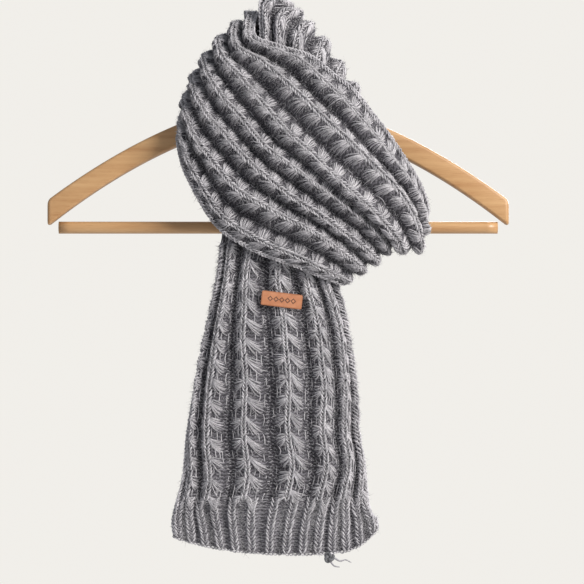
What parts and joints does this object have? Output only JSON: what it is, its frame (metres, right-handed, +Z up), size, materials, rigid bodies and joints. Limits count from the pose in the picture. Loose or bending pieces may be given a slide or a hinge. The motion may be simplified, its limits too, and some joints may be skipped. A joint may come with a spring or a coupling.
{
  "type": "knit scarf on a wooden clothes hanger",
  "caption": "Ribbed knit scarf wound round the neck of a wooden clothes hanger, with a diagonal wrap over a hanging tail and a leather label.",
  "frame": {"origin": "inside top of the hook, where a rail holds the hanger", "axes": "+Z up, +X to the wearer's left (the right of the front view), the front of the scarf faces -Y"},
  "size_m": [0.42, 0.0951, 0.566],
  "materials": {
    "knit": "brushed wool-blend yarn in a mid grey, matt and fuzzy",
    "leather": "smooth tan leather, satin, with a darker cut edge",
    "wood": "clear-varnished beech",
    "steel": "bright drawn wire"
  },
  "bodies": {
    "root": {"scarf_front_tail": "knit", "scarf_neck_front": "knit", "scarf_neck_back": "knit", "scarf_front_wrap": "knit", "scarf_back_tail": "knit", "yarn_knot": "knit", "yarn_end_long": "knit", "yarn_end_short": "knit", "label": "leather", "hanger_shoulders": "wood", "hanger_bar": "wood", "hook": "steel"}
  },
  "joints": []
}
